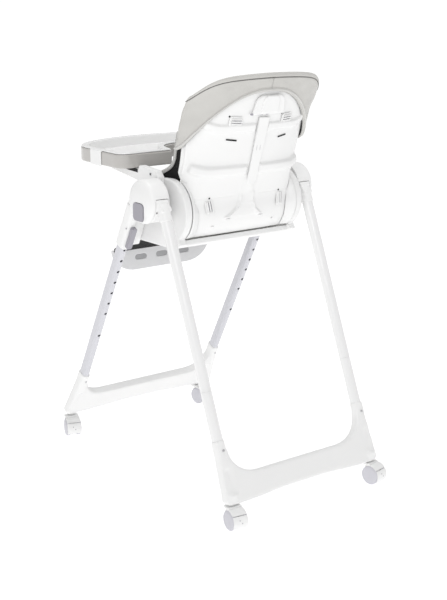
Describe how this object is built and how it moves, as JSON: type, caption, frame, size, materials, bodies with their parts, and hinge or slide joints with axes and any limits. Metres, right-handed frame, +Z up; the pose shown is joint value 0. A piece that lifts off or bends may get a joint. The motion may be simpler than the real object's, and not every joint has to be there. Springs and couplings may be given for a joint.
{
  "type": "baby high chair",
  "caption": "Folding baby high chair on castors, with A-frame legs, a height-adjustable seat, a reclining hooded back, a tray and a leg rest.",
  "frame": {"origin": "on the floor, at the middle of the bounding box", "axes": "+Z up, -Y the way the child faces, +X the child's left"},
  "size_m": [0.538, 0.8346, 1.066],
  "materials": {
    "white_plastic": "satin",
    "grey_tube": "satin powder coat",
    "white_tube": "gloss powder coat",
    "button_plastic": "satin",
    "light_plastic": "satin",
    "wheel_plastic": "satin",
    "tray_grey": "gloss",
    "tray_white": "gloss",
    "steel": "brushed",
    "seat_leather": "soft coated fabric",
    "hood_leather": "soft coated fabric",
    "black_liner": "woven",
    "webbing": "woven webbing"
  },
  "bodies": {
    "front_frame": {"front_base": "white_plastic", "left_front_tube": "grey_tube", "right_front_tube": "grey_tube", "left_hub": "white_plastic", "right_hub": "white_plastic", "left_hub_cover": "white_plastic", "right_hub_cover": "white_plastic", "hub_pins": "steel", "front_socket_screws": "steel"},
    "left_button": {"left_fold_button": "button_plastic"},
    "right_button": {"right_fold_button": "button_plastic"},
    "rear_frame": {"rear_base": "white_plastic", "left_rear_tube": "white_tube", "right_rear_tube": "white_tube", "rear_foot_tubes": "white_tube", "left_knuckle": "white_plastic", "right_knuckle": "white_plastic", "rear_socket_screws": "steel"},
    "seat_carrier": {"left_slider": "white_plastic", "right_slider": "white_plastic", "seat_base": "white_plastic", "left_armrest": "white_plastic", "right_armrest": "white_plastic", "armrest_screws": "steel", "recline_pins": "steel", "seat_cushion": "seat_leather", "side_liner": "black_liner", "waist_straps": "webbing", "harness_buckle": "button_plastic", "legrest_pin": "steel"},
    "left_catch": {"left_height_catch": "button_plastic"},
    "right_catch": {"right_height_catch": "button_plastic"},
    "buckle_press": {"buckle_button": "light_plastic"},
    "backrest": {"back_shell": "white_plastic", "back_cushion": "seat_leather", "head_hood": "hood_leather", "shoulder_straps": "webbing", "strap_retainers": "white_plastic", "spine_cover": "white_plastic", "recline_housing": "white_plastic"},
    "lever": {"recline_lever": "white_plastic"},
    "tray": {"tray_base": "tray_grey"},
    "tray_insert": {"top_tray": "tray_white"},
    "tray_latch": {"tray_release": "button_plastic"},
    "legrest": {"legrest_panel": "black_liner", "legrest_pad": "seat_leather", "footrest": "light_plastic"},
    "front_left_castor": {"front_left_hood": "white_plastic"},
    "front_left_roller": {"front_left_wheels": "wheel_plastic"},
    "front_left_brake": {"front_left_pedal": "white_plastic"},
    "front_right_castor": {"front_right_hood": "white_plastic"},
    "front_right_roller": {"front_right_wheels": "wheel_plastic"},
    "front_right_brake": {"front_right_pedal": "white_plastic"},
    "rear_left_castor": {"rear_left_hood": "white_plastic"},
    "rear_left_roller": {"rear_left_wheels": "wheel_plastic"},
    "rear_left_brake": {"rear_left_pedal": "white_plastic"},
    "rear_right_castor": {"rear_right_hood": "white_plastic"},
    "rear_right_roller": {"rear_right_wheels": "wheel_plastic"},
    "rear_right_brake": {"rear_right_pedal": "white_plastic"}
  },
  "joints": [
    {"name": "fold", "type": "hinge", "parent": "front_frame", "child": "rear_frame", "pos_m": [0, 0.035, 0.75], "axis": [-1, 0, 0], "range_deg": [0, 46]},
    {"name": "left_button_press", "type": "slide", "parent": "front_frame", "child": "left_button", "axis": [-1, 0, 0], "range_m": [0, 0.005], "stiffness_N_per_m": 800, "springref_m": -0.002},
    {"name": "right_button_press", "type": "slide", "parent": "front_frame", "child": "right_button", "axis": [1, 0, 0], "range_m": [0, 0.005], "stiffness_N_per_m": 800, "springref_m": -0.002},
    {"name": "seat_height", "type": "slide", "parent": "front_frame", "child": "seat_carrier", "axis": [0, -0.4702, -0.8825], "range_m": [0, 0.25732]},
    {"name": "left_catch_pull", "type": "slide", "parent": "seat_carrier", "child": "left_catch", "axis": [0, 0.8825, -0.4702], "range_m": [0, 0.006], "stiffness_N_per_m": 800, "springref_m": -0.002},
    {"name": "right_catch_pull", "type": "slide", "parent": "seat_carrier", "child": "right_catch", "axis": [0, 0.8825, -0.4702], "range_m": [0, 0.006], "stiffness_N_per_m": 800, "springref_m": -0.002},
    {"name": "buckle_release", "type": "slide", "parent": "seat_carrier", "child": "buckle_press", "axis": [0, 1, 0], "range_m": [0, 0.003], "stiffness_N_per_m": 600, "springref_m": -0.002},
    {"name": "recline", "type": "hinge", "parent": "seat_carrier", "child": "backrest", "pos_m": [0, 0.05, 0.722], "axis": [-1, 0, 0], "range_deg": [0, 30]},
    {"name": "recline_pull", "type": "slide", "parent": "backrest", "child": "lever", "axis": [0, 0.3173, 0.9483], "range_m": [0, 0.01], "stiffness_N_per_m": 600, "springref_m": -0.003},
    {"name": "tray_slide", "type": "slide", "parent": "seat_carrier", "child": "tray", "axis": [0, -1, 0], "range_m": [0, 0.07]},
    {"name": "tray_insert_lift", "type": "slide", "parent": "tray", "child": "tray_insert", "axis": [0, 0, 1], "range_m": [0, 0.12]},
    {"name": "tray_latch_pull", "type": "slide", "parent": "tray", "child": "tray_latch", "axis": [0, -1, 0], "range_m": [0, 0.006], "stiffness_N_per_m": 600, "springref_m": -0.002},
    {"name": "legrest_tilt", "type": "hinge", "parent": "seat_carrier", "child": "legrest", "pos_m": [0, -0.136, 0.632], "axis": [-1, 0, 0], "range_deg": [-45, 30]},
    {"name": "front_left_swivel", "type": "hinge", "parent": "front_frame", "child": "front_left_castor", "pos_m": [0.227, -0.404, 0.057], "axis": [0, 0, 1], "continuous": true},
    {"name": "front_left_roll", "type": "hinge", "parent": "front_left_castor", "child": "front_left_roller", "pos_m": [0.23194, -0.38878, 0.025], "axis": [0.9511, -0.309, 0], "continuous": true},
    {"name": "front_left_brake_press", "type": "hinge", "parent": "front_left_castor", "child": "front_left_brake", "pos_m": [0.23194, -0.38878, 0.025], "axis": [-0.9511, 0.309, 0], "range_deg": [0, 15]},
    {"name": "front_right_swivel", "type": "hinge", "parent": "front_frame", "child": "front_right_castor", "pos_m": [-0.227, -0.404, 0.057], "axis": [0, 0, 1], "continuous": true},
    {"name": "front_right_roll", "type": "hinge", "parent": "front_right_castor", "child": "front_right_roller", "pos_m": [-0.22978, -0.38824, 0.025], "axis": [0.9848, 0.1736, 0], "continuous": true},
    {"name": "front_right_brake_press", "type": "hinge", "parent": "front_right_castor", "child": "front_right_brake", "pos_m": [-0.22978, -0.38824, 0.025], "axis": [-0.9848, -0.1736, 0], "range_deg": [0, 15]},
    {"name": "rear_left_swivel", "type": "hinge", "parent": "rear_frame", "child": "rear_left_castor", "pos_m": [0.227, 0.371, 0.057], "axis": [0, 0, 1], "continuous": true},
    {"name": "rear_left_roll", "type": "hinge", "parent": "rear_left_castor", "child": "rear_left_roller", "pos_m": [0.22867, 0.38691, 0.025], "axis": [0.9945, -0.1045, 0], "continuous": true},
    {"name": "rear_left_brake_press", "type": "hinge", "parent": "rear_left_castor", "child": "rear_left_brake", "pos_m": [0.22867, 0.38691, 0.025], "axis": [-0.9945, 0.1045, 0], "range_deg": [0, 15]},
    {"name": "rear_right_swivel", "type": "hinge", "parent": "rear_frame", "child": "rear_right_castor", "pos_m": [-0.227, 0.371, 0.057], "axis": [0, 0, 1], "continuous": true},
    {"name": "rear_right_roll", "type": "hinge", "parent": "rear_right_castor", "child": "rear_right_roller", "pos_m": [-0.23033, 0.38665, 0.025], "axis": [0.9781, 0.2079, 0], "continuous": true},
    {"name": "rear_right_brake_press", "type": "hinge", "parent": "rear_right_castor", "child": "rear_right_brake", "pos_m": [-0.23033, 0.38665, 0.025], "axis": [-0.9781, -0.2079, 0], "range_deg": [0, 15]}
  ]
}
